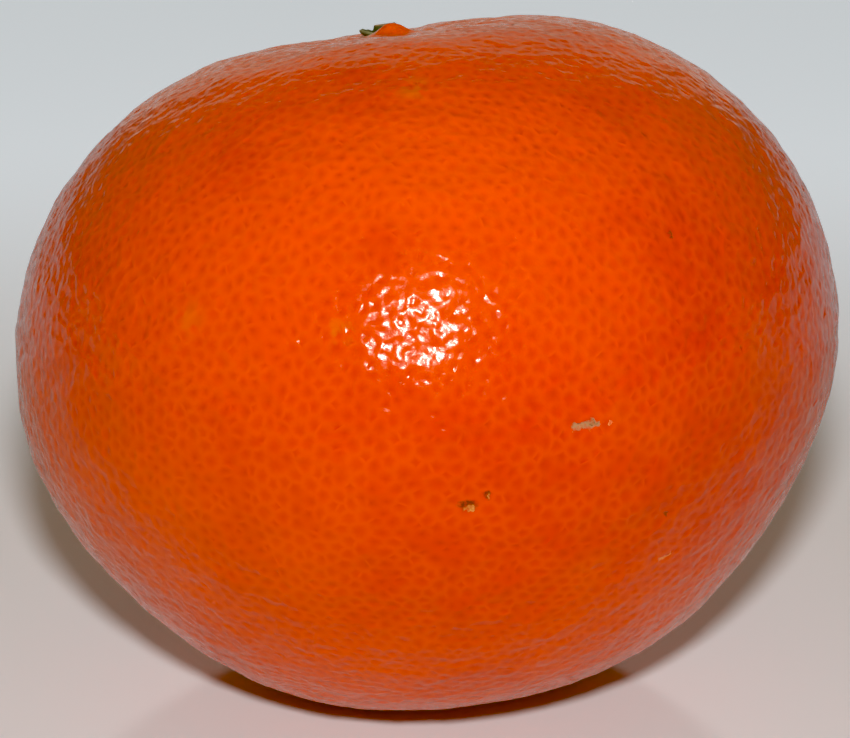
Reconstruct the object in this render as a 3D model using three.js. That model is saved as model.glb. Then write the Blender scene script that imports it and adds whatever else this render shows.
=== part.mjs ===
// A ripe mandarin, picked and set down on a table. The oblate fruit leans back on a small pressed spot,
// its peel is pitted all over, and a star-shaped calyx with a cut stem sits in the basin at the stem end.
// Millimetres, +Z up. The origin is the middle of the spot that the fruit rests on.

import * as THREE from "three";
import { ConvexHull } from "three/addons/math/ConvexHull.js";

// The fruit's outline, in its own frame: stem end up, widest level at height 0
const EQUATOR_RADIUS = 30.7;
const STEM_HALF = 24.5;
const BLOSSOM_HALF = 26.9;
const STEM_FULLNESS = 2.43; // 2 is an ellipse, and more is squarer at the shoulder
const BLOSSOM_FULLNESS = 1.96;
const SWELL = 0.3; // how far shoulders, waist and lower flank stand out, and the flats between lie in
const SWELL_WAVES = 6; // once round the outline, through both ends
const UNEVENNESS = 0.25; // how far the waist departs from a circle, in two lobes
const THREE_LOBED_SHARE = 0.6; // size of three more lobes, as a share of the two

// Stem end
const BASIN_DEPTH = 0.6;
const BASIN_RADIUS = 8;
const BUTTON_HEIGHT = 0.1; // the rise in the basin that the calyx stands on
const BUTTON_RADIUS = 2.4;
const COLLAR_RADIUS = 3.2; // the ring of peel round the calyx
const COLLAR_WIDTH = 0.8;
const COLLAR_HEIGHT = 1.05; // at its high side, which is a short hump
const COLLAR_LOW_SHARE = 0.25; // height of the rest of the ring, as a share of the hump's
const COLLAR_HIGH_SIDE = -1.42; // radians round from +X
const COLLAR_NARROWNESS = 30; // a higher number makes the hump shorter
const FURROWS = 9;
const FURROW_DEPTH = 0.22;
const FURROW_RADIUS = 7;
const FURROW_REACH = 3.2;
const FURROW_SHARPNESS = 3;

// Blossom end
const DIMPLE_DEPTH = 0.5;
const DIMPLE_RADIUS = 3.5;
const STYLE_SCAR_HEIGHT = 0.35;
const STYLE_SCAR_RADIUS = 1.1;

// Pits of the peel, three times as wide as on the real one
const PITS = 1400;
const PIT_DEPTH = 0.16;
const PIT_DEPTH_SPREAD = 0.45; // share of the depth that varies from pit to pit
const PIT_STRAY = 0.24; // how far a pit strays from its even place, in pit spacings
const CROWDING = 12; // how many times closer the pits stand at the stem end, by area
const CROWDED_ANGLE = 0.26; // radians from the stem end
const SPIRAL_STEPS = 4000;

// Calyx and cut stem
const SEPALS = 5;
const SPOKES_PER_SEPAL = 8;
const SEPAL_TIP_RADIUS = 2.2;
const SEPAL_NOTCH_RADIUS = 1.65;
const SEPAL_POINTEDNESS = 1.5;
const SEPAL_THICKNESS = 0.5; // beside the stem
const SEPAL_TIP_THICKNESS = 0.25;
const SEPAL_CURL = 0.5; // how far the tips bend up
const STEM_RADIUS = 0.9;
const STEM_HEIGHT = 0.3; // above the sepals
const STEM_HOLLOW = 0.1; // how far the cut face is dished
const CALYX_GAP = 0.3; // between the calyx and the peel

// How the fruit lies
const LEAN_LEFT = 7.6; // degrees, stem end towards -X
const LEAN_BACK = 13; // degrees, stem end towards +Y
const PRESSED_DEPTH = 0.95; // how far the peel is flattened where it rests
const SETTLED_RIM = 0.3; // peel that would hang this low round the pressed spot settles onto the table too

const SEED = 7;

// A repeatable row of numbers from 0 to 1
function randomRow(seed) {
  let state = seed;
  return () => {
    state = (Math.imul(state, 1664525) + 1013904223) >>> 0;
    return state / 2 ** 32;
  };
}

const bell = (distance, width) => Math.exp(-((distance / width) ** 2));

// The basin, the button and the ring of peel in it, and the furrows that run out from them
function stemEnd(fromAxis, round) {
  const seat = BUTTON_HEIGHT * bell(fromAxis, BUTTON_RADIUS) - BASIN_DEPTH * bell(fromAxis, BASIN_RADIUS);
  const hump = (0.5 + 0.5 * Math.cos(round - COLLAR_HIGH_SIDE)) ** COLLAR_NARROWNESS;
  const ring = COLLAR_LOW_SHARE + (1 - COLLAR_LOW_SHARE) * hump;
  const collar = COLLAR_HEIGHT * ring * bell(fromAxis - COLLAR_RADIUS, COLLAR_WIDTH);
  const furrow = (0.5 + 0.5 * Math.cos(FURROWS * round + Math.sin(2 * round))) ** FURROW_SHARPNESS;
  return seat + collar - FURROW_DEPTH * furrow * bell(fromAxis - FURROW_RADIUS, FURROW_REACH);
}

// The dimple and the scar of the style in it
function blossomEnd(fromAxis) {
  const dimple = DIMPLE_DEPTH * bell(fromAxis, DIMPLE_RADIUS);
  return STYLE_SCAR_HEIGHT * bell(fromAxis, STYLE_SCAR_RADIUS) - dimple;
}

// Distance from the fruit's middle to its smooth skin. polar is the angle from the stem end, in radians,
// and round is the angle about the axis.
function skinRadius(polar, round) {
  const towardsStem = Math.cos(polar) >= 0;
  const half = towardsStem ? STEM_HALF : BLOSSOM_HALF;
  const fullness = towardsStem ? STEM_FULLNESS : BLOSSOM_FULLNESS;
  const across = Math.abs(Math.sin(polar) / EQUATOR_RADIUS) ** fullness;
  const along = Math.abs(Math.cos(polar) / half) ** fullness;
  const outline = (across + along) ** (-1 / fullness) - SWELL * Math.cos(SWELL_WAVES * polar);
  const wobble = Math.sin(2 * round) + THREE_LOBED_SHARE * Math.sin(3 * round);
  const waist = outline + UNEVENNESS * wobble * Math.sin(polar) ** 2;
  const fromAxis = waist * Math.sin(polar);
  return waist + (towardsStem ? stemEnd(fromAxis, round) : blossomEnd(fromAxis));
}

// The point that lies depth below the smooth skin in the direction given
function skinPoint(direction, depth = 0) {
  const polar = Math.acos(THREE.MathUtils.clamp(direction.z, -1, 1));
  const round = Math.atan2(direction.y, direction.x);
  return direction.clone().multiplyScalar(skinRadius(polar, round) - depth);
}

// The point at an angle round the axis and a distance from it
function pointRound(round, fromAxis, height) {
  return new THREE.Vector3(fromAxis * Math.cos(round), fromAxis * Math.sin(round), height);
}

// Directions of the pits: a sunflower's spiral from the stem end, closer there, with each a little astray
function pitDirections() {
  const random = randomRow(SEED);
  const crowding = (polar) => 1 + (CROWDING - 1) * bell(polar, CROWDED_ANGLE);
  const polarOf = (step) => (Math.PI * (step + 0.5)) / SPIRAL_STEPS;
  const filled = [0];
  for (let step = 0; step < SPIRAL_STEPS; step++) {
    filled.push(filled[step] + crowding(polarOf(step)) * Math.sin(polarOf(step)));
  }
  const goldenAngle = Math.PI * (3 - Math.sqrt(5));
  const evenSpacing = Math.sqrt((4 * Math.PI) / PITS);
  const directions = [];
  let step = 0;
  for (let pit = 0; pit < PITS; pit++) {
    while (filled[step + 1] < ((pit + 0.5) / PITS) * filled.at(-1)) step++;
    const polar = polarOf(step);
    const stray = (PIT_STRAY * evenSpacing) / Math.sqrt(crowding(polar));
    const astray = () => stray * (2 * random() - 1);
    const direction = pointRound(pit * goldenAngle, Math.sin(polar), Math.cos(polar));
    directions.push(direction.add(new THREE.Vector3(astray(), astray(), astray())).normalize());
  }
  return directions;
}

// The peel's corners and triangles. Each pit is a fan from its sunk middle to the net of ridges round it.
function pittedPeel() {
  const random = randomRow(SEED + 1);
  const pits = pitDirections();
  const hull = new ConvexHull().setFromPoints(pits);
  const pitNumber = new Map(pits.map((pit, i) => [pit, i]));
  const ridgeNumber = new Map(hull.faces.map((face, i) => [face, pits.length + i]));
  const points = pits.map((pit) => {
    const depth = PIT_DEPTH * (1 - PIT_DEPTH_SPREAD * random());
    return skinPoint(pit, depth * (1 - bell(Math.acos(pit.z), CROWDED_ANGLE)));
  });
  const triangles = [];
  for (const face of hull.faces) {
    points.push(skinPoint(face.midpoint.clone().normalize()));
    for (const edge of [face.getEdge(0), face.getEdge(1), face.getEdge(2)]) {
      const pit = pitNumber.get(edge.tail().point);
      triangles.push(pit, ridgeNumber.get(edge.twin.face), ridgeNumber.get(face));
    }
  }
  return { points, triangles };
}

// Flattens the lowest points onto the table, and returns the middle of the pressed spot
function pressFlat(points, down) {
  const seat = Math.max(...points.map((point) => point.dot(down))) - PRESSED_DEPTH;
  const pressed = points.filter((point) => point.dot(down) > seat - SETTLED_RIM);
  const middle = new THREE.Vector3();
  for (const point of pressed) {
    point.addScaledVector(down, seat - point.dot(down));
    middle.addScaledVector(point, 1 / pressed.length);
  }
  return middle;
}

// Height of the smooth skin over the widest level, near the stem end
function stemEndHeight(fromAxis, round) {
  const polar = Math.atan2(fromAxis, STEM_HALF);
  return skinRadius(polar, round) * Math.cos(polar);
}

// Outer radius of the star of sepals
function sepalRadius(round) {
  const lobe = Math.abs(Math.cos((SEPALS * round) / 2)) ** SEPAL_POINTEDNESS;
  return SEPAL_NOTCH_RADIUS + (SEPAL_TIP_RADIUS - SEPAL_NOTCH_RADIUS) * lobe;
}

// Rings of the calyx, from its underside out to the star's edge and back in to the cut face of the stem:
// in is a share of the stem's radius, out a share of the way from the stem to the star's edge,
// and rise the height over the underside
const CALYX_RINGS = [
  { in: 0.6, out: 0, rise: 0 },
  { in: 1, out: 0, rise: 0 },
  { in: 1, out: 0.5, rise: 0 },
  { in: 1, out: 1, rise: 0 },
  { in: 1, out: 1, rise: SEPAL_TIP_THICKNESS },
  { in: 1, out: 0.5, rise: (SEPAL_TIP_THICKNESS + SEPAL_THICKNESS) / 2 },
  { in: 1, out: 0.1, rise: SEPAL_THICKNESS },
  { in: 1, out: 0, rise: SEPAL_THICKNESS },
  { in: 0.94, out: 0, rise: SEPAL_THICKNESS + STEM_HEIGHT },
  { in: 0.5, out: 0, rise: SEPAL_THICKNESS + STEM_HEIGHT - STEM_HOLLOW },
];

// The calyx: sepals that lie over the peel and bend up at their tips, and the level stem that stands on them
function calyx() {
  const spokes = SEPALS * SPOKES_PER_SEPAL;
  const floor = stemEndHeight(0, 0) + CALYX_GAP;
  const points = [];
  const triangles = [];
  for (const ring of CALYX_RINGS) {
    for (let spoke = 0; spoke < spokes; spoke++) {
      const round = (2 * Math.PI * spoke) / spokes;
      const fromAxis = ring.in * STEM_RADIUS + ring.out * (sepalRadius(round) - STEM_RADIUS);
      const base = ring.out > 0 ? stemEndHeight(fromAxis, round) + CALYX_GAP : floor;
      const leftness = 0.5 - 0.5 * Math.cos(round);
      const bend = SEPAL_CURL * leftness * ring.out ** 2;
      points.push(pointRound(round, fromAxis, base + bend + ring.rise));
    }
  }
  const lastRing = points.length - spokes;
  const underside = points.length;
  const cutFace = points.length + 1;
  points.push(pointRound(0, 0, floor));
  points.push(pointRound(0, 0, floor + CALYX_RINGS.at(-1).rise));
  for (let spoke = 0; spoke < spokes; spoke++) {
    const next = (spoke + 1) % spokes;
    triangles.push(underside, next, spoke);
    for (let ring = 0; ring < lastRing; ring += spokes) {
      triangles.push(ring + spoke, ring + next, ring + spokes + next);
      triangles.push(ring + spoke, ring + spokes + next, ring + spokes + spoke);
    }
    triangles.push(cutFace, lastRing + spoke, lastRing + next);
  }
  return { points, triangles };
}

function namedMesh(name, { points, triangles }, material) {
  const geometry = new THREE.BufferGeometry().setFromPoints(points);
  geometry.setIndex(triangles);
  geometry.computeVertexNormals();
  const mesh = new THREE.Mesh(geometry, material);
  mesh.name = name;
  return mesh;
}

const glossyPeel = new THREE.MeshStandardMaterial({ color: 0xe65a0a, roughness: 0.36, metalness: 0 });
const dryCalyx = new THREE.MeshStandardMaterial({ color: 0x4c5426, roughness: 0.75, metalness: 0 });

const mandarin = new THREE.Group();
mandarin.rotation.set(THREE.MathUtils.degToRad(-LEAN_BACK), THREE.MathUtils.degToRad(-LEAN_LEFT), 0);
const down = new THREE.Vector3(0, 0, -1).applyQuaternion(mandarin.quaternion.clone().invert());
const peel = pittedPeel();
const restSpot = pressFlat(peel.points, down);
mandarin.position.copy(restSpot.applyQuaternion(mandarin.quaternion).negate());
mandarin.add(namedMesh("fruit", peel, glossyPeel));
mandarin.add(namedMesh("calyx", calyx(), dryCalyx));

export default mandarin;
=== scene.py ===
"""The looks of a ripe mandarin: glossy, pitted peel and a dry green calyx, lit from over the camera."""

import math

import bmesh
import bpy
import numpy as np
from mathutils import Matrix, Vector, noise


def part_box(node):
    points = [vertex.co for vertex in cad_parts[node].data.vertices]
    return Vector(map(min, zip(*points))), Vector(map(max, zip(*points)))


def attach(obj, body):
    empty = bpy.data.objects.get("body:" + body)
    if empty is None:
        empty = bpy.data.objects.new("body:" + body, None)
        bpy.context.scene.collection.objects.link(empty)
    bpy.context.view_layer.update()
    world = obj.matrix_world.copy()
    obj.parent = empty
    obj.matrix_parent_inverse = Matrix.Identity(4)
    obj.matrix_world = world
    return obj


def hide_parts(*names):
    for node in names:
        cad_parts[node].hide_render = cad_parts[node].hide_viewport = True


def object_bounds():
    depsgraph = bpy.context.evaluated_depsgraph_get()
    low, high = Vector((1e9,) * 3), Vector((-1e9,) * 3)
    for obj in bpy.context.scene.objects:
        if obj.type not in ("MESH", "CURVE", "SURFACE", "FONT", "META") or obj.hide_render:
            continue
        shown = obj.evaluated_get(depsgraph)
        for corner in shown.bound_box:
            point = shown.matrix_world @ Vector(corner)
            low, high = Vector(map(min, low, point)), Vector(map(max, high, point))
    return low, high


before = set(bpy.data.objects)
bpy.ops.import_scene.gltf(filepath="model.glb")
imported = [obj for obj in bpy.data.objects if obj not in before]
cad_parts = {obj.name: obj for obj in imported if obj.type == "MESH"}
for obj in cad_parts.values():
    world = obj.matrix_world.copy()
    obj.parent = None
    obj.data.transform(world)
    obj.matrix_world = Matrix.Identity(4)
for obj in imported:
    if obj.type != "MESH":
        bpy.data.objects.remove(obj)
cad_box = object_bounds()

MM = 0.001

# The fruit's outline in its own frame, stem end up, in millimetres, as the solid has it
EQUATOR_RADIUS = 30.7
STEM_HALF = 24.5
BLOSSOM_HALF = 26.9
STEM_FULLNESS = 2.43
BLOSSOM_FULLNESS = 1.96
SWELL = 0.3
SWELL_WAVES = 6
UNEVENNESS = 0.25
THREE_LOBED_SHARE = 0.6

# Stem end
BASIN_DEPTH = 0.6
BASIN_RADIUS = 8
BUTTON_HEIGHT = 0.1
BUTTON_RADIUS = 2.4
COLLAR_RADIUS = 3.2
COLLAR_WIDTH = 0.8
COLLAR_HEIGHT = 1.05
COLLAR_LOW_SHARE = 0.25
COLLAR_HIGH_SIDE = -1.42
COLLAR_NARROWNESS = 30
FURROWS = 9
FURROW_DEPTH = 0.22
FURROW_RADIUS = 7
FURROW_REACH = 3.2
FURROW_SHARPNESS = 3

# Blossom end
DIMPLE_DEPTH = 0.5
DIMPLE_RADIUS = 3.5
STYLE_SCAR_HEIGHT = 0.35
STYLE_SCAR_RADIUS = 1.1

# How the fruit lies
LEAN_LEFT = math.radians(7.6)
LEAN_BACK = math.radians(13)
PRESSED_DEPTH = 0.95
SETTLED_RIM = 0.3

# Pits at their real size
PITS = 10900
PIT_DEPTH = 0.055
PIT_DEPTH_SPREAD = 0.65
PIT_DEPTH_PATCH = 0.9  # size of the places where the pits are deeper or less deep
PIT_WALL_SHARE = 0.5  # depth half way up a pit's wall, as a share of the pit's
PIT_STRAY = 0.33
CROWDING = 2.5
CROWDED_ANGLE = 0.3
BARE_ANGLE = 0.07  # the pits fade out about this near the stem end
SPIRAL_STEPS = 6000
PEEL_SEED = 7

# Unevenness of the peel. The shifts take each noise from a place of its own.
RIPPLE_HEIGHT = 0.12
RIPPLE_LENGTH = 3.2
GRAIN_HEIGHT = 0.055
GRAIN_LENGTH = 1.1
GRAIN_SHIFT = 9
PIT_DEPTH_SHIFT = 5
UNEVENNESS_STRETCH = np.array((1, 1, 1.6))  # ripples and grain are longer round the fruit than up it

# Calyx and cut stem
SEPALS = 5
SEPAL_TIP_RADIUS = 2.2
SEPAL_NOTCH_RADIUS = 1.65
SEPAL_POINTEDNESS = 1.5
SEPAL_THICKNESS = 0.55
SEPAL_TIP_THICKNESS = 0.2
STEM_RADIUS = 0.9
STEM_HEIGHT = 0.4
STEM_HOLLOW = 0.12
SEPAL_CURL = 0.6  # how far the tips on the left bend up
NOTCH_CURL_SHARE = 0.6  # the curl of the notches, as a share of the tips'
EDGE_RAGGEDNESS = 0.12
VEINS_PER_SEPAL = 5
VEIN_HEIGHT = 0.035
CALYX_CRINKLE = 0.07
CRINKLES_PER_MM = 1.7
CALYX_SPOKES = 120
CALYX_RINGS = 48
CALYX_SEAT = 0.05  # height of the sepals' underside over the peel

# The photographed view
VIEW_ELEVATION = math.radians(19.3)
VIEW_DISTANCE = 320
LENS = 179.3
SENSOR = 36
AIM_OFFSET = Vector((-0.19, 0, -1.4))
FRAME_WIDTH_PX = 850
FRAME_HEIGHT_PX = 738
SIGHT_STEP = 0.02

# The flash over the camera: its bearing in degrees, and its distance and foot on the floor in metres
FLASH_ELEVATION = 27.6
FLASH_AZIMUTH = 0.3
FLASH_DISTANCE = 0.35
FLASH_FOOT = (0.0, -FLASH_DISTANCE * math.cos(math.radians(FLASH_ELEVATION)), 0.0)

# Lights: kind, elevation and azimuth in degrees, distance and size in metres, power in watts and tint. First
# the flash, then three softboxes behind the fruit, the ceiling and a spot that fills from behind.
LIGHTS = (
    ("AREA", FLASH_ELEVATION, FLASH_AZIMUTH, FLASH_DISTANCE, 0.028, 1.24, (1.0, 0.99, 0.97)),
    ("AREA", 14, 145, 0.7, 0.6, 0.12, (1.0, 0.9, 0.74)),
    ("AREA", 14, 180, 0.7, 0.6, 0.42, (1.0, 0.9, 0.74)),
    ("AREA", 14, 215, 0.7, 0.6, 0.12, (1.0, 0.9, 0.74)),
    ("AREA", 80, 0, 0.9, 0.8, 0.62, (1.0, 0.6, 0.4)),
    ("SPOT", 22, 179, 0.6, 0.04, 7.0, (1.0, 0.96, 0.9)),
)
BACK_LIGHT_CONE = math.radians(8)
BACK_LIGHT_BLEND = 0.4
ROOM_LIGHT = 0.04

# The floor
FLOOR_SIZE = 6.0
FLOOR_DROP = 0.00005  # keeps the floor just under the fruit


def bell(distance, width):
    return np.exp(-((distance / width) ** 2))


def stem_end(from_axis, around):
    """The basin, the button and the ring of peel in it, and the furrows that run out from them."""
    seat = BUTTON_HEIGHT * bell(from_axis, BUTTON_RADIUS) - BASIN_DEPTH * bell(from_axis, BASIN_RADIUS)
    hump = (0.5 + 0.5 * np.cos(around - COLLAR_HIGH_SIDE)) ** COLLAR_NARROWNESS
    ring = COLLAR_LOW_SHARE + (1 - COLLAR_LOW_SHARE) * hump
    collar = COLLAR_HEIGHT * ring * bell(from_axis - COLLAR_RADIUS, COLLAR_WIDTH)
    furrow = (0.5 + 0.5 * np.cos(FURROWS * around + np.sin(2 * around))) ** FURROW_SHARPNESS
    return seat + collar - FURROW_DEPTH * furrow * bell(from_axis - FURROW_RADIUS, FURROW_REACH)


def blossom_end(from_axis):
    """The dimple and the scar of the style in it."""
    dimple = DIMPLE_DEPTH * bell(from_axis, DIMPLE_RADIUS)
    return STYLE_SCAR_HEIGHT * bell(from_axis, STYLE_SCAR_RADIUS) - dimple


def skin_radius(polar, around):
    """Distance from the middle to the smooth skin, at angles from the stem end and round the axis."""
    towards_stem = np.cos(polar) >= 0
    half = np.where(towards_stem, STEM_HALF, BLOSSOM_HALF)
    fullness = np.where(towards_stem, STEM_FULLNESS, BLOSSOM_FULLNESS)
    across = np.abs(np.sin(polar) / EQUATOR_RADIUS) ** fullness
    along = np.abs(np.cos(polar) / half) ** fullness
    outline = (across + along) ** (-1 / fullness) - SWELL * np.cos(SWELL_WAVES * polar)
    wobble = np.sin(2 * around) + THREE_LOBED_SHARE * np.sin(3 * around)
    waist = outline + UNEVENNESS * wobble * np.sin(polar) ** 2
    from_axis = waist * np.sin(polar)
    return waist + np.where(towards_stem, stem_end(from_axis, around), blossom_end(from_axis))


def pit_directions():
    """A sunflower's spiral from the stem end, closer there, with each pit a little astray."""
    random = np.random.default_rng(PEEL_SEED)
    polar_steps = math.pi * (np.arange(SPIRAL_STEPS) + 0.5) / SPIRAL_STEPS
    filled = np.cumsum((1 + (CROWDING - 1) * bell(polar_steps, CROWDED_ANGLE)) * np.sin(polar_steps))
    share = (np.arange(PITS) + 0.5) / PITS
    polar = np.interp(share * filled[-1], filled, polar_steps)
    around = np.arange(PITS) * math.pi * (3 - math.sqrt(5))
    directions = np.stack([np.sin(polar) * np.cos(around), np.sin(polar) * np.sin(around), np.cos(polar)], 1)
    closeness = np.sqrt(1 + (CROWDING - 1) * bell(polar, CROWDED_ANGLE))
    stray = PIT_STRAY * math.sqrt(4 * math.pi / PITS) / closeness
    directions += random.uniform(-1, 1, directions.shape) * stray[:, None]
    return directions / np.linalg.norm(directions, axis=1)[:, None]


def net_of_pits():
    """A ball of unit radius, whose corners are pits, places half way up their walls and a net of ridges.

    The layer "pit" of its corners is 1 in a pit, 0.5 on a wall and 0 on the net.
    """
    net = bmesh.new()
    pit_layer = net.verts.layers.float.new("pit")
    for direction in pit_directions():
        net.verts.new(direction)[pit_layer] = 1
    bmesh.ops.convex_hull(net, input=net.verts)
    between_pits = list(net.edges)
    for crossing in bmesh.ops.poke(net, faces=net.faces)["verts"]:
        crossing[pit_layer] = 0
    bmesh.ops.rotate_edges(net, edges=between_pits, use_ccw=False)
    walls = [edge for edge in net.edges if edge.verts[0][pit_layer] != edge.verts[1][pit_layer]]
    bmesh.ops.subdivide_edges(net, edges=walls, cuts=1, use_grid_fill=True)
    bmesh.ops.triangulate(net, faces=net.faces)
    return net


def ripple(direction, length):
    """Smooth seeded unevenness from -1 to 1, with bumps about that long in millimetres."""
    return noise.noise(Vector(direction) * (EQUATOR_RADIUS / length))


def angles(directions):
    """The angle from the stem end and the one round the axis of unit vectors."""
    return np.arccos(np.clip(directions[:, 2], -1, 1)), np.arctan2(directions[:, 1], directions[:, 0])


class Lie:
    """How the fruit lies: its middle, in metres, and its lean."""

    def __init__(self):
        self.lean = Matrix.Rotation(-LEAN_BACK, 3, "X") @ Matrix.Rotation(-LEAN_LEFT, 3, "Y")
        self.middle = Vector()

    def place(self, point):
        """A point of the fruit's own frame, in millimetres, as it lies on the table, in metres."""
        return self.middle + self.lean @ Vector(point) * MM

    def into_fruit(self, points):
        """Points on or over the table, in metres, in the fruit's own frame, in millimetres."""
        return (points - np.array(self.middle)) / MM @ np.array(self.lean)


def peel_radius(directions, sunk):
    """Distances from the middle to the uneven skin, sunk into its pits by shares from 0 to 1."""
    polar, around = angles(directions)
    ripples = np.array([ripple(d * UNEVENNESS_STRETCH, RIPPLE_LENGTH) for d in directions])
    grain = np.array([ripple(d * UNEVENNESS_STRETCH + GRAIN_SHIFT, GRAIN_LENGTH) for d in directions])
    deeper = np.array([ripple(d + PIT_DEPTH_SHIFT, PIT_DEPTH_PATCH) for d in directions])
    depth = PIT_DEPTH * (1 + PIT_DEPTH_SPREAD * deeper) * sunk
    return skin_radius(polar, around) - depth + RIPPLE_HEIGHT * ripples + GRAIN_HEIGHT * grain


def lay_down(points, lie):
    """Presses the leaning fruit flat where it is lowest, and puts it where the solid is.

    The points come in millimetres and leave in metres. It gives lie the fruit's middle.
    """
    seat = points[:, 2].min() + PRESSED_DEPTH
    points[points[:, 2] < seat + SETTLED_RIM, 2] = seat
    cad_low, cad_high = (np.array(corner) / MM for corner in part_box("fruit"))
    shift = (cad_low + cad_high - points.min(0) - points.max(0)) / 2
    shift[2] = -seat
    lie.middle = Vector(shift * MM)
    return (points + shift) * MM


def peel_mesh(name, lie):
    """The pitted peel, pressed flat where it rests. It gives lie the fruit's middle."""
    net = net_of_pits()
    mesh = bpy.data.meshes.new(name)
    net.to_mesh(mesh)
    net.free()
    count = len(mesh.vertices)
    corners = np.empty(count * 3, np.float32)
    mesh.vertices.foreach_get("co", corners)
    directions = corners.reshape(-1, 3).astype(float)
    directions /= np.linalg.norm(directions, axis=1)[:, None]
    pit = np.empty(count, np.float32)
    mesh.attributes["pit"].data.foreach_get("value", pit)
    pitted = 1 - bell(angles(directions)[0], BARE_ANGLE * 2)
    sunk = np.interp(pit, (0, 0.5, 1), (0, PIT_WALL_SHARE, 1)) * pitted
    leaning = directions * peel_radius(directions, sunk)[:, None] @ np.array(lie.lean).T
    points = lay_down(leaning, lie)
    mesh.vertices.foreach_set("co", points.astype(np.float32).ravel())
    mesh.attributes["pit"].data.foreach_set("value", sunk.astype(np.float32))
    mesh.update()
    return mesh


def smooth_piece(name, mesh, material):
    mesh.shade_smooth()
    mesh.materials.append(material)
    piece = bpy.data.objects.new(name, mesh)
    bpy.context.scene.collection.objects.link(piece)
    return piece


def stem_end_height(from_axis, around):
    """Height of the smooth skin over the widest level, near the stem end."""
    polar = np.arctan2(from_axis, STEM_HALF)
    return skin_radius(polar, around) * np.cos(polar)


# The calyx's section, from the middle of its underside to the middle of the cut face. Each point has a share
# of the stem's radius, a share of the way from there to the star's edge, and a rise over the underside in
# millimetres. The last four points are the cut face.
CALYX_SECTION = (
    (0.0, 0.0, 0.0),
    (1.0, 0.0, 0.0),
    (1.0, 0.95, 0.0),
    (1.0, 1.0, SEPAL_TIP_THICKNESS / 2),
    (1.0, 0.95, SEPAL_TIP_THICKNESS),
    (1.0, 0.5, SEPAL_TIP_THICKNESS * 1.4),
    (1.0, 0.12, SEPAL_THICKNESS),
    (1.0, 0.0, SEPAL_THICKNESS + 0.12),
    (0.94, 0.0, SEPAL_THICKNESS + STEM_HEIGHT - 0.06),
    (0.86, 0.0, SEPAL_THICKNESS + STEM_HEIGHT),
    (0.7, 0.0, SEPAL_THICKNESS + STEM_HEIGHT - STEM_HOLLOW * 0.7),
    (0.0, 0.0, SEPAL_THICKNESS + STEM_HEIGHT - STEM_HOLLOW),
)


def calyx_mesh(name, lie):
    """The sepals and the cut stem, shaped from a ball whose south pole is the middle of the underside."""
    ball = bmesh.new()
    bmesh.ops.create_uvsphere(ball, u_segments=CALYX_SPOKES, v_segments=CALYX_RINGS, radius=1)
    cut_layer = ball.verts.layers.float.new("cut")
    tip_layer = ball.verts.layers.float.new("tip")
    section = np.array(CALYX_SECTION)
    stations = np.linspace(0, 1, len(section))
    floor = float(stem_end_height(0, 0)) + CALYX_SEAT
    for vert in ball.verts:
        share = 1 - math.acos(max(-1, min(1, vert.co.z))) / math.pi
        around = math.atan2(vert.co.y, vert.co.x)
        inner, out, rise = (float(np.interp(share, stations, section[:, k])) for k in range(3))
        lobe = abs(math.cos(SEPALS * around / 2)) ** SEPAL_POINTEDNESS
        edge = SEPAL_NOTCH_RADIUS + (SEPAL_TIP_RADIUS - SEPAL_NOTCH_RADIUS) * lobe
        edge += EDGE_RAGGEDNESS * noise.noise(Vector((3 * math.cos(around), 3 * math.sin(around), 2)))
        from_axis = inner * STEM_RADIUS + out * (edge - STEM_RADIUS)
        base = float(stem_end_height(from_axis, around)) + CALYX_SEAT if out > 0 else floor
        leftness = 0.5 - 0.5 * math.cos(around)
        curl = SEPAL_CURL * leftness * (NOTCH_CURL_SHARE + (1 - NOTCH_CURL_SHARE) * lobe) * out**2
        vein = VEIN_HEIGHT * math.cos(SEPALS * VEINS_PER_SEPAL * around) * out if share > 0.35 else 0
        height = base + rise + curl + vein
        place = Vector((from_axis * math.cos(around), from_axis * math.sin(around), height))
        crinkle = CALYX_CRINKLE * noise.noise(place * CRINKLES_PER_MM) * min(1, 2 * out + 0.4)
        vert[cut_layer] = 1 if share > stations[-4] else 0
        vert[tip_layer] = out
        vert.co = lie.place(place + Vector((0, 0, crinkle)))
    bmesh.ops.recalc_face_normals(ball, faces=ball.faces)
    mesh = bpy.data.meshes.new(name)
    ball.to_mesh(mesh)
    ball.free()
    return mesh


class Wire:
    """A shader socket that takes part in Python expressions: each operator adds its Math node."""

    def __init__(self, finish, socket):
        self.finish = finish
        self.socket = socket

    def math(self, operation, *others):
        sockets = dict(enumerate((self, *others)))
        return self.finish.node("ShaderNodeMath", {"operation": operation}, sockets)

    def __add__(self, other):
        return self.math("ADD", other)

    def __sub__(self, other):
        return self.math("SUBTRACT", other)

    def __mul__(self, other):
        return self.math("MULTIPLY", other)

    def __pow__(self, other):
        return self.math("POWER", other)

    def __rsub__(self, other):
        return self.finish.node("ShaderNodeMath", {"operation": "SUBTRACT"}, {0: other, 1: self})

    __radd__ = __add__
    __rmul__ = __mul__


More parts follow.
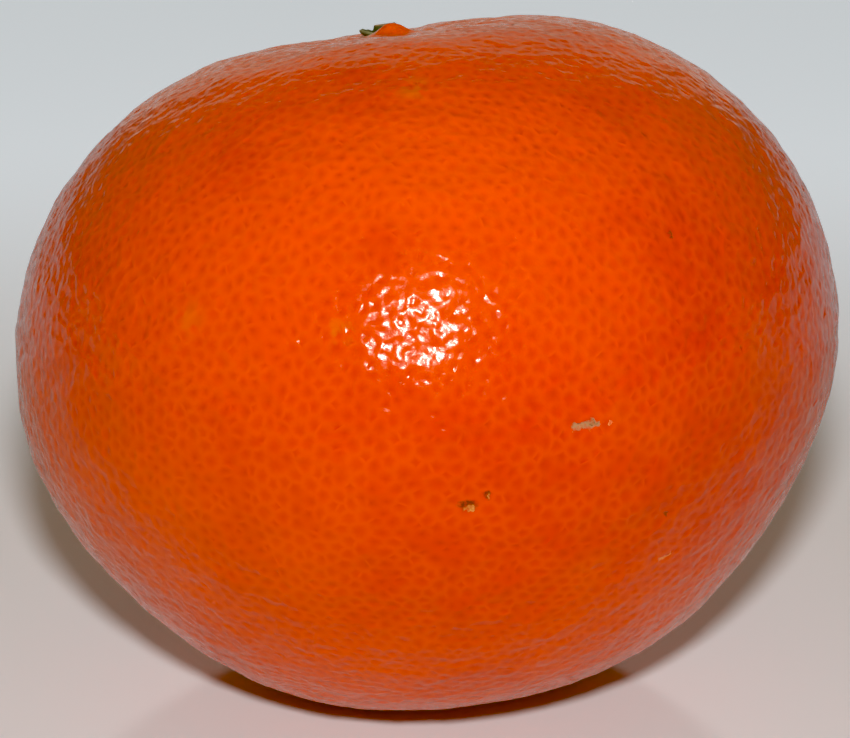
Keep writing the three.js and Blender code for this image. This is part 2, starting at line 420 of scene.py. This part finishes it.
class Finish:
    """A material and its nodes."""

    def __init__(self, name):
        self.material = bpy.data.materials.new(name)
        self.material.use_nodes = True
        self.tree = self.material.node_tree
        self.tree.nodes.clear()

    def node(self, kind, settings=None, sockets=None, output=None):
        """Adds a node, its settings first and then its sockets' values or links.

        Gives the output of that name, or else the first.
        """
        made = self.tree.nodes.new(kind)
        for name, value in (settings or {}).items():
            setattr(made, name, value)
        for key, value in (sockets or {}).items():
            if isinstance(key, str):
                socket = next(s for s in made.inputs if s.name == key and s.enabled)
            else:
                socket = made.inputs[key]
            if isinstance(value, Wire):
                self.tree.links.new(value.socket, socket)
            else:
                socket.default_value = value
        shown = [s for s in made.outputs if s.enabled and output in (None, s.name)]
        return Wire(self, shown[0]) if shown else None

    def position(self):
        return self.node("ShaderNodeTexCoord", output="Object")

    def attribute(self, name):
        return self.node("ShaderNodeAttribute", {"attribute_name": name}, output="Fac")

    def noise(self, position, size, detail=2.0, roughness=0.5, output="Fac"):
        """Noise with bumps of about that size in metres."""
        sockets = {"Vector": position, "Scale": 1 / size, "Detail": detail, "Roughness": roughness}
        return self.node("ShaderNodeTexNoise", {}, sockets, output)

    def vector(self, operation, a, b=None, output=None):
        sockets = {0: a} if b is None else {0: a, 1: b}
        return self.node("ShaderNodeVectorMath", {"operation": operation}, sockets, output)

    def step(self, value, start, end):
        """0 at start and 1 at end, smoothly between."""
        sockets = {"Value": value, "From Min": start, "From Max": end}
        return self.node("ShaderNodeMapRange", {"interpolation_type": "SMOOTHSTEP"}, sockets)

    def mix(self, share, a, b):
        """From colour a to colour b by share."""
        return self.node("ShaderNodeMix", {"data_type": "RGBA"}, {"Factor": share, "A": a, "B": b})

    def spot(self, position, centre, size, softness):
        """1 in an ellipsoid about centre, 0 outside it."""
        away = self.vector("SUBTRACT", position, tuple(centre))
        away = self.vector("DIVIDE", away, tuple(size))
        distance = self.vector("LENGTH", away, output="Value")
        return self.step(distance, 1.0 + softness, 1.0 - softness)

    def bump(self, height, distance, normal=None):
        """The normal over a height from 0 to 1 that stands for that distance in metres."""
        sockets = {"Height": height, "Distance": distance, "Strength": 1.0}
        if normal is not None:
            sockets["Normal"] = normal
        return self.node("ShaderNodeBump", {}, sockets)

    def surface(self, **sockets):
        """Ends the material in a Principled shader with these sockets, and returns the material."""
        names = {name.replace("_", " "): value for name, value in sockets.items()}
        shader = self.node("ShaderNodeBsdfPrincipled", {}, names)
        self.node("ShaderNodeOutputMaterial", {}, {"Surface": shader})
        return self.material


def color(red, green, blue):
    return (red, green, blue, 1.0)


# Peel colours
YELLOWER = color(0.61, 0.055, 0.0)
REDDER = color(0.6, 0.031, 0.0)
# painted light: the top paler as if lit from above, the bottom paler as if lit by light bouncing off the
# table
PAINTED_TOP_LIGHT = color(0.73, 0.07, 0.0)
PAINTED_BOUNCE_LIGHT = color(0.72, 0.066, 0.0)
DEEP = color(0.54, 0.029, 0.0)
BRIGHT = color(0.67, 0.064, 0.0)
PIT_SHADE = color(0.44, 0.012, 0.0)
# the net's paler colour, with painted sheen in its raised green and blue
NET_TONE_AND_PAINTED_SHEEN = color(0.78, 0.11, 0.012)
YELLOW_GREEN = color(0.55, 0.17, 0.003)
SCAB_PALE = color(0.38, 0.19, 0.095)
SCAB_DARK = color(0.13, 0.06, 0.025)
SCAR_PALE = color(0.62, 0.24, 0.06)
SCAR_DARK_AND_PAINTED_SHADE = color(0.16, 0.02, 0.0)
SPECK_DARK = color(0.2, 0.03, 0.004)
STREAK_AND_GLINT_PALE = color(0.85, 0.3, 0.1)
STYLE_BROWN = color(0.16, 0.07, 0.025)
STEM_SIDE_GREEN = color(0.42, 0.13, 0.006)

# Calyx colours
SEPAL_DARK = color(0.022, 0.03, 0.01)
SEPAL_LIGHT = color(0.075, 0.08, 0.026)
SEPAL_TIP = color(0.24, 0.23, 0.11)
SEPAL_FIBRE = color(0.24, 0.2, 0.08)
WOOD_PALE = color(0.36, 0.24, 0.12)
WOOD_DARK = color(0.2, 0.12, 0.055)
HEARTWOOD = color(0.12, 0.07, 0.03)

# Where the peel's colour changes, in metres across the fruit and up it; up it, painted light makes the top
# and the bottom paler
YELLOWER_TO_REDDER = (-0.022, 0.012)
INTO_PAINTED_TOP_LIGHT = (0.028, 0.05)
INTO_PAINTED_BOUNCE_LIGHT = (0.022, 0.003)

# Patches, spots and relief finer than the mesh, in metres
WIDE_PATCH = 0.009
FINE_PATCH = 0.0028
UNRIPE_PATCH = 0.0014
STEM_GREEN_RADIUS = 0.004
STYLE_BROWN_RADIUS = 0.001
WAX_GRAIN = 0.00012
WAX_GRAIN_HEIGHT = 0.000006
WAX_SWELL = 0.001
WAX_SWELL_HEIGHT = 0.00014
DRY_GRIT = 0.0002
DRY_PLACE_DEPTH = 0.00005
FRAYING = 0.00035
FRAYING_REACH = 0.0009  # span of what the blemishes' edges stray
SEPAL_BLOTCH = 0.0009
FIBRE = 0.00025
FIBRE_HEIGHT = 0.00006
HEARTWOOD_RADIUS = 0.00045

# The room's light, and the floor's colours: painted dark under the flash to cancel its pool of light, pale
# far from it, with what the far part shines as painted light
ROOM_TINT = color(1.0, 0.75, 0.55)
FLOOR_PAINTED_DARK_UNDER_FLASH = color(0.05, 0.052, 0.054)
FAR_FLOOR = color(0.93, 0.95, 0.98)
FAR_GLOW = color(0.282, 0.345, 0.39)

# Distances from the flash's foot, in metres, over which the floor's painted shade fades to pale and its
# painted glow starts
PAINTED_SHADE_FADING = (0.0, 0.42)
GLOWING = (0.335, 0.46)

# What the camera takes off red, green and blue
BLACK_LEVEL = (0.0, 0.003, 0.021)

# Blemishes, with the scars' painted shade and a painted glint, in the order that they lie over one another:
# the pixel of the photograph that each is at, its half size in millimetres and its colour
BLEMISHES_AND_PAINTED_MARKS = (
    ((576, 427), (0.36, 0.36, 0.3), SCAB_PALE),
    ((583, 425), (0.4, 0.4, 0.27), SCAB_PALE),
    ((591, 424), (0.46, 0.46, 0.34), SCAB_PALE),
    ((597, 423), (0.3, 0.3, 0.24), SCAB_PALE),
    ((593, 423), (0.2, 0.2, 0.13), SCAB_DARK),
    ((580, 423), (0.16, 0.16, 0.08), SCAB_DARK),
    # a painted glint beside the scab
    ((611, 423), (0.13, 0.13, 0.16), STREAK_AND_GLINT_PALE),
    # the scars: dark scar colour and painted shade in the dent, on the upper left of each
    ((468, 506), (0.6, 0.6, 0.4), SCAR_DARK_AND_PAINTED_SHADE),
    ((470, 509), (0.34, 0.34, 0.2), SCAR_PALE),
    ((487, 495), (0.32, 0.32, 0.28), SCAR_DARK_AND_PAINTED_SHADE),
    ((489, 496), (0.12, 0.12, 0.12), SCAR_PALE),
    ((666, 514), (0.16, 0.16, 0.34), SPECK_DARK),
    ((671, 234), (0.16, 0.16, 0.24), SPECK_DARK),
    ((139, 232), (0.14, 0.14, 0.14), SPECK_DARK),
    ((662, 558), (0.3, 0.3, 0.1), STREAK_AND_GLINT_PALE),
    ((667, 556), (0.24, 0.24, 0.08), STREAK_AND_GLINT_PALE),
)
# Places that haven't ripened fully: the pixel, the radius in millimetres and the strength
UNRIPE = (
    ((415, 88), 1.2, 0.4),
    ((188, 318), 1.1, 0.25),
    ((338, 334), 0.9, 0.4),
)


def aim_and_eye():
    """The point that the camera looks at, and where it stands, in metres."""
    low, high = cad_box
    aim = (low + high) / 2 + AIM_OFFSET * MM
    back = Vector((0, -math.cos(VIEW_ELEVATION), math.sin(VIEW_ELEVATION)))
    return aim, aim + back * VIEW_DISTANCE * MM


def seen_at(pixel, lie):
    """The point of the skin that the camera sees at a pixel of its 850 by 738 frame."""
    aim, eye = aim_and_eye()
    turn = (aim - eye).to_track_quat("-Z", "Y")
    across = (pixel[0] - FRAME_WIDTH_PX / 2) / FRAME_WIDTH_PX * SENSOR
    up = (FRAME_HEIGHT_PX / 2 - pixel[1]) / FRAME_WIDTH_PX * SENSOR
    sight = np.array(turn @ Vector((across, up, -LENS)).normalized())
    reaches = np.arange(VIEW_DISTANCE - 2 * EQUATOR_RADIUS, VIEW_DISTANCE, SIGHT_STEP) * MM
    along = np.array(eye) + reaches[:, None] * sight
    in_fruit = lie.into_fruit(along)
    distance = np.linalg.norm(in_fruit, axis=1)
    polar, around = angles(in_fruit / distance[:, None])
    first_inside = np.argmax(distance < skin_radius(polar, around))
    return Vector(along[first_inside])


def ripe_skin(finish, position, pit, fine):
    """Orange, redder on one side and in the pits, paler above and below with painted light, and paler on the
    net between the pits, partly with painted sheen.
    """
    across = finish.node("ShaderNodeSeparateXYZ", {}, {"Vector": position}, "X")
    height = finish.node("ShaderNodeSeparateXYZ", {}, {"Vector": position}, "Z")
    wide = finish.noise(position, WIDE_PATCH, detail=3)
    skin = finish.mix(finish.step(across, *YELLOWER_TO_REDDER), YELLOWER, REDDER)
    # painted light from above makes the top paler
    skin = finish.mix(finish.step(height, *INTO_PAINTED_TOP_LIGHT), skin, PAINTED_TOP_LIGHT)
    # painted bounce light from the table makes the bottom paler
    skin = finish.mix(finish.step(height, *INTO_PAINTED_BOUNCE_LIGHT), skin, PAINTED_BOUNCE_LIGHT)
    skin = finish.mix(finish.step(wide, 0.45, 0.7) * 0.5, skin, DEEP)
    skin = finish.mix(finish.step(wide, 0.5, 0.3) * 0.5, skin, BRIGHT)
    skin = finish.mix(finish.step(fine, 0.3, 0.75) * 0.3, skin, DEEP)
    # the net between the pits: paler colour, partly painted sheen
    skin = finish.mix((1 - pit**2) ** 4 * finish.step(fine, 0.3, 0.6) * 0.24, skin, NET_TONE_AND_PAINTED_SHEEN)
    return finish.mix(pit**2 * finish.step(fine, 0.7, 0.3) * 0.5, skin, PIT_SHADE)


def unripe_places(finish, lie, position, fine, skin):
    patchy = finish.noise(position, UNRIPE_PATCH, detail=2)
    for pixel, radius, strength in UNRIPE:
        near = finish.spot(position, seen_at(pixel, lie), (radius * MM,) * 3, 0.8)
        skin = finish.mix(near * finish.step(patchy, 0.42, 0.58) * strength, skin, YELLOW_GREEN)
    stem_pole = lie.place((0, 0, float(skin_radius(0, 0))))
    green = finish.spot(position, stem_pole, (STEM_GREEN_RADIUS,) * 3, 0.8)
    return finish.mix(green * finish.step(fine, 0.3, 0.7) * 0.35, skin, STEM_SIDE_GREEN)


def blemishes(finish, lie, position, skin):
    """The skin with its blemishes, the scars' painted shade and a painted glint, and a mask of what is dry.
    """
    blossom_pole = lie.place((0, 0, -float(skin_radius(math.pi, 0))))
    dry = finish.spot(position, blossom_pole, (STYLE_BROWN_RADIUS,) * 3, 0.25)
    skin = finish.mix(dry, skin, STYLE_BROWN)
    gritty = finish.noise(position, DRY_GRIT, detail=2)
    cover = finish.step(gritty, 0.35, 0.6) * 0.5 + 0.45
    ragged = finish.noise(position, FRAYING, detail=3, output="Color")
    ragged = finish.vector("SUBTRACT", ragged, (0.5, 0.5, 0.5))
    ragged = finish.vector("MULTIPLY", ragged, (FRAYING_REACH,) * 3)
    frayed = finish.vector("ADD", position, ragged)
    for pixel, size, shade in BLEMISHES_AND_PAINTED_MARKS:
        mark = finish.spot(frayed, seen_at(pixel, lie), tuple(s * MM for s in size), 0.4)
        skin = finish.mix(mark * cover, skin, shade)
        dry = dry.math("MAXIMUM", mark)
    return skin, dry


def peel_finish(lie):
    finish = Finish("waxy_pitted_peel")
    position = finish.position()
    fine = finish.noise(position, FINE_PATCH, detail=3)
    skin = ripe_skin(finish, position, finish.attribute("pit"), fine)
    skin = unripe_places(finish, lie, position, fine, skin)
    skin, dry = blemishes(finish, lie, position, skin)
    grain = finish.noise(position, WAX_GRAIN, detail=1)
    swell = finish.noise(position, WAX_SWELL, detail=1)
    normal = finish.bump(grain, WAX_GRAIN_HEIGHT)
    normal = finish.bump(swell, WAX_SWELL_HEIGHT, normal=normal)
    normal = finish.bump(1 - dry, DRY_PLACE_DEPTH, normal=normal)
    return finish.surface(
        Base_Color=skin,
        Roughness=0.19 + dry * 0.5,
        IOR=1.33,
        Specular_Tint=color(1.0, 0.85, 0.75),
        Subsurface_Weight=0.2,
        Subsurface_Radius=(1.0, 0.25, 0.05),
        Subsurface_Scale=0.0012,
        Normal=normal,
    )


def calyx_finish(lie):
    finish = Finish("dry_green_calyx")
    position = finish.position()
    cut = finish.attribute("cut")
    blotch = finish.noise(position, SEPAL_BLOTCH, detail=4, roughness=0.6)
    fibre = finish.noise(position, FIBRE, detail=3)
    green = finish.mix(finish.step(blotch, 0.35, 0.65), SEPAL_DARK, SEPAL_LIGHT)
    green = finish.mix(finish.attribute("tip") ** 4 * 0.6, green, SEPAL_TIP)
    green = finish.mix(finish.step(fibre, 0.55, 0.8) * 0.5, green, SEPAL_FIBRE)
    wood = finish.mix(finish.step(fibre, 0.3, 0.7), WOOD_PALE, WOOD_DARK)
    cut_face = lie.place((0, 0, float(stem_end_height(0, 0)) + SEPAL_THICKNESS + STEM_HEIGHT))
    heart = finish.spot(position, cut_face, (HEARTWOOD_RADIUS,) * 3, 0.3)
    wood = finish.mix(heart * 0.5, wood, HEARTWOOD)
    shade = finish.mix(cut, green, wood)
    normal = finish.bump(fibre, FIBRE_HEIGHT)
    return finish.surface(Base_Color=shade, Roughness=0.62 + fibre * 0.25, IOR=1.4, Normal=normal)


def floor_finish():
    """Pale and brighter with the distance from the flash: painted shade under the flash evens out its pool
    of light, and a painted glow far off stands in for a sheet that rises behind the fruit.
    """
    finish = Finish("pale_table")
    position = finish.position()
    from_flash = finish.vector("LENGTH", finish.vector("SUBTRACT", position, FLASH_FOOT), output="Value")
    # painted shade: near black under the flash, to cancel its pool of light
    shade = finish.mix(finish.step(from_flash, *PAINTED_SHADE_FADING), FLOOR_PAINTED_DARK_UNDER_FLASH, FAR_FLOOR)
    # painted light: the far floor glows
    glow = finish.mix(finish.step(from_flash, *GLOWING), color(0, 0, 0), FAR_GLOW)
    return finish.surface(
        Base_Color=shade,
        Roughness=0.7,
        IOR=1.2,
        Emission_Color=glow,
        Emission_Strength=1.0,
    )


def lay_floor():
    slab = bmesh.new()
    bmesh.ops.create_grid(slab, x_segments=1, y_segments=1, size=FLOOR_SIZE / 2)
    bmesh.ops.translate(slab, verts=slab.verts, vec=(0, 0, -FLOOR_DROP))
    mesh = bpy.data.meshes.new("table_top")
    slab.to_mesh(mesh)
    slab.free()
    mesh.materials.append(floor_finish())
    floor = bpy.data.objects.new("table_top", mesh)
    bpy.context.scene.collection.objects.link(floor)


def place_camera():
    aim, eye = aim_and_eye()
    data = bpy.data.cameras.new("camera")
    data.lens = LENS
    data.sensor_width = SENSOR
    data.clip_start = 0.01
    data.clip_end = 20
    camera = bpy.data.objects.new("camera", data)
    camera.location = eye
    camera.rotation_euler = (aim - eye).to_track_quat("-Z", "Y").to_euler()
    bpy.context.scene.collection.objects.link(camera)
    bpy.context.scene.camera = camera


def light(kind, elevation, azimuth, distance, size, power, tint):
    """A light that shines at the fruit, from a bearing whose azimuth 0 is the camera's side."""
    low, high = cad_box
    data = bpy.data.lights.new(f"{kind.lower()}_light_at_{azimuth}_degrees", kind)
    data.energy = power
    data.color = tint
    if kind == "AREA":
        data.shape = "DISK"
        data.size = size
    else:
        data.shadow_soft_size = size
        data.spot_size = BACK_LIGHT_CONE
        data.spot_blend = BACK_LIGHT_BLEND
    lamp = bpy.data.objects.new(data.name, data)
    lamp.visible_glossy = kind == "AREA"  # the spot only fills, and leaves no highlight
    tilt, turn = math.radians(elevation), math.radians(azimuth)
    level = math.cos(tilt)
    back = Vector((level * math.sin(turn), -level * math.cos(turn), math.sin(tilt)))
    lamp.location = (low + high) / 2 + back * distance
    lamp.rotation_euler = (-back).to_track_quat("-Z", "Y").to_euler()
    bpy.context.scene.collection.objects.link(lamp)


def light_room():
    for lamp in LIGHTS:
        light(*lamp)
    world = bpy.data.worlds.new("room")
    world.use_nodes = True
    sky = world.node_tree.nodes["Background"]
    sky.inputs["Color"].default_value = ROOM_TINT
    sky.inputs["Strength"].default_value = ROOM_LIGHT
    bpy.context.scene.world = world


def develop_like_a_camera():
    """Plain colours, with the blue and green of the deepest shades held back."""
    view = bpy.context.scene.view_settings
    view.view_transform = "Standard"
    view.use_curve_mapping = True
    view.curve_mapping.black_level = BLACK_LEVEL
    view.curve_mapping.update()


def dress_fruit():
    lie = Lie()
    peel = smooth_piece("fruit_peel", peel_mesh("fruit_peel", lie), peel_finish(lie))
    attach(peel, "root")
    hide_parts("fruit")
    calyx = smooth_piece("calyx_and_stem", calyx_mesh("calyx_and_stem", lie), calyx_finish(lie))
    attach(calyx, "root")
    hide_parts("calyx")


develop_like_a_camera()
dress_fruit()
lay_floor()
place_camera()
light_room()
